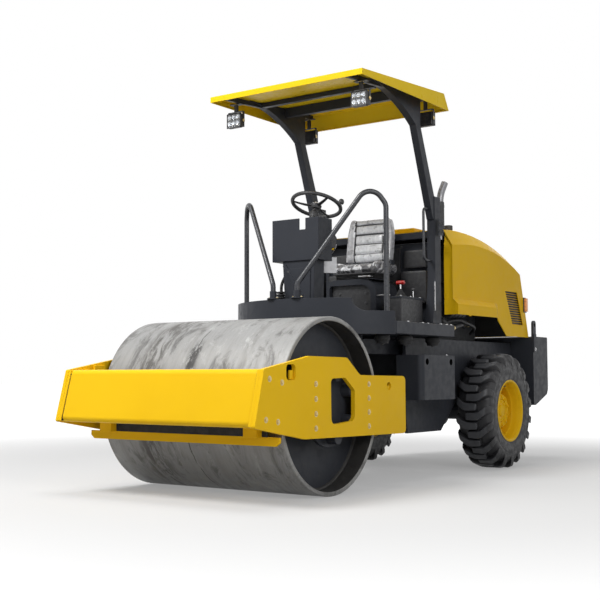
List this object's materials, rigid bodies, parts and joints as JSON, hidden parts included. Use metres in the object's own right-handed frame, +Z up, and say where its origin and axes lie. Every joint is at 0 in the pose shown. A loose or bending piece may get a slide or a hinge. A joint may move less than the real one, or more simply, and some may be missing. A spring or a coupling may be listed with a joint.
{
  "type": "road roller",
  "caption": "Articulated road roller: smooth steel drum in a hinged front frame, open operator's deck under a canopy, hooded engine behind and two lugged rubber tyres.",
  "frame": {"origin": "on the ground under the middle of the machine's length and width", "axes": "+Z up, +Y towards the engine end (the drum leads at -Y), +X to the machine's left"},
  "size_m": [1.42, 4.0909, 2.6],
  "materials": {
    "yellow_paint": "semi-gloss yellow enamel",
    "dark_paint": "satin anthracite enamel",
    "drum_steel": "bare rolled steel, light handling marks",
    "tyre": "matt black rubber",
    "black_plastic": "moulded black plastic",
    "seat_film": "black vinyl under a clear wrinkled film",
    "pin_steel": "ground steel",
    "lamp": "lamp housing and lens",
    "amber": "amber lens"
  },
  "bodies": {
    "front_frame": {"front_beam": "yellow_paint", "scraper": "yellow_paint", "side_plate_left": "yellow_paint", "side_plate_right": "yellow_paint", "rear_crossmember": "dark_paint", "mount_carriers": "dark_paint"},
    "drum": {"drum_shell": "drum_steel", "drum_heads": "dark_paint"},
    "centre_joint": {"centre_block": "dark_paint"},
    "chassis": {"frame_rails": "dark_paint", "hinge_fork": "dark_paint", "rear_axle": "dark_paint", "engine": "dark_paint", "bulkhead": "dark_paint", "counterweight": "dark_paint", "side_tanks": "dark_paint", "deck_beams": "dark_paint", "deck_floor": "dark_paint", "deck_skirt": "dark_paint", "post_left": "dark_paint", "post_right": "dark_paint", "cross_members": "dark_paint", "canopy": "yellow_paint", "work_lamps": "lamp", "grab_handle": "dark_paint", "handrail_left": "dark_paint", "handrail_right": "dark_paint", "console": "dark_paint", "steering_column": "dark_paint", "instrument_panel": "black_plastic", "seat_pedestal": "dark_paint", "seat_suspension": "black_plastic", "seat_cushion": "seat_film", "seat_backrest": "seat_film", "control_box": "dark_paint"},
    "hood": {"hood_shell": "yellow_paint", "exhaust_stack": "pin_steel", "tail_lamps": "amber"},
    "handwheel": {"steering_wheel": "black_plastic"},
    "wheel_left": {"tyre_left": "tyre", "rim_left": "yellow_paint"},
    "wheel_right": {"tyre_right": "tyre", "rim_right": "yellow_paint"},
    "cylinder_left": {"steering_barrel_left": "dark_paint"},
    "rod_left": {"steering_rod_left": "pin_steel"},
    "cylinder_right": {"steering_barrel_right": "dark_paint"},
    "rod_right": {"steering_rod_right": "pin_steel"}
  },
  "joints": [
    {"name": "steer", "type": "hinge", "parent": "chassis", "child": "centre_joint", "pos_m": [0, -0.133, 0.54], "axis": [0, 0, 1], "range_deg": [-30, 30]},
    {"name": "frame_swing", "type": "hinge", "parent": "centre_joint", "child": "front_frame", "pos_m": [0, -0.383, 0.54], "axis": [0, 1, 0], "range_deg": [-8, 8]},
    {"name": "drum_roll", "type": "hinge", "parent": "front_frame", "child": "drum", "pos_m": [0, -1.233, 0.5], "axis": [1, 0, 0], "continuous": true},
    {"name": "wheel_roll_left", "type": "hinge", "parent": "chassis", "child": "wheel_left", "pos_m": [0.568, 1.093, 0.415], "axis": [1, 0, 0], "continuous": true},
    {"name": "wheel_roll_right", "type": "hinge", "parent": "chassis", "child": "wheel_right", "pos_m": [-0.568, 1.093, 0.415], "axis": [1, 0, 0], "continuous": true},
    {"name": "hood_lift", "type": "hinge", "parent": "chassis", "child": "hood", "pos_m": [0, 1.752, 1], "axis": [-1, 0, 0], "range_deg": [0, 55]},
    {"name": "handwheel_turn", "type": "hinge", "parent": "chassis", "child": "handwheel", "pos_m": [0, -0.403, 1.796], "axis": [0, 0.3681, 0.9298], "continuous": true},
    {"name": "cylinder_left_swing", "type": "hinge", "parent": "chassis", "child": "cylinder_left", "pos_m": [0.2, 0.197, 0.54], "axis": [0, 0, 1], "range_deg": [-7.5, 7.5]},
    {"name": "cylinder_right_swing", "type": "hinge", "parent": "chassis", "child": "cylinder_right", "pos_m": [-0.2, 0.197, 0.54], "axis": [0, 0, 1], "range_deg": [-7.5, 7.5]},
    {"name": "rod_left_slide", "type": "slide", "parent": "cylinder_left", "child": "rod_left", "axis": [0, -1, 0], "range_m": [-0.104, 0.104]},
    {"name": "rod_right_slide", "type": "slide", "parent": "cylinder_right", "child": "rod_right", "axis": [0, -1, 0], "range_m": [-0.104, 0.104]}
  ],
  "couplings": [
    {"joint": "cylinder_left_swing", "follows": "steer", "ratio": 0.2485},
    {"joint": "cylinder_right_swing", "follows": "steer", "ratio": 0.2485},
    {"joint": "rod_left_slide", "follows": "steer", "m_per_rad": -0.19618},
    {"joint": "rod_right_slide", "follows": "steer", "m_per_rad": 0.19618}
  ]
}
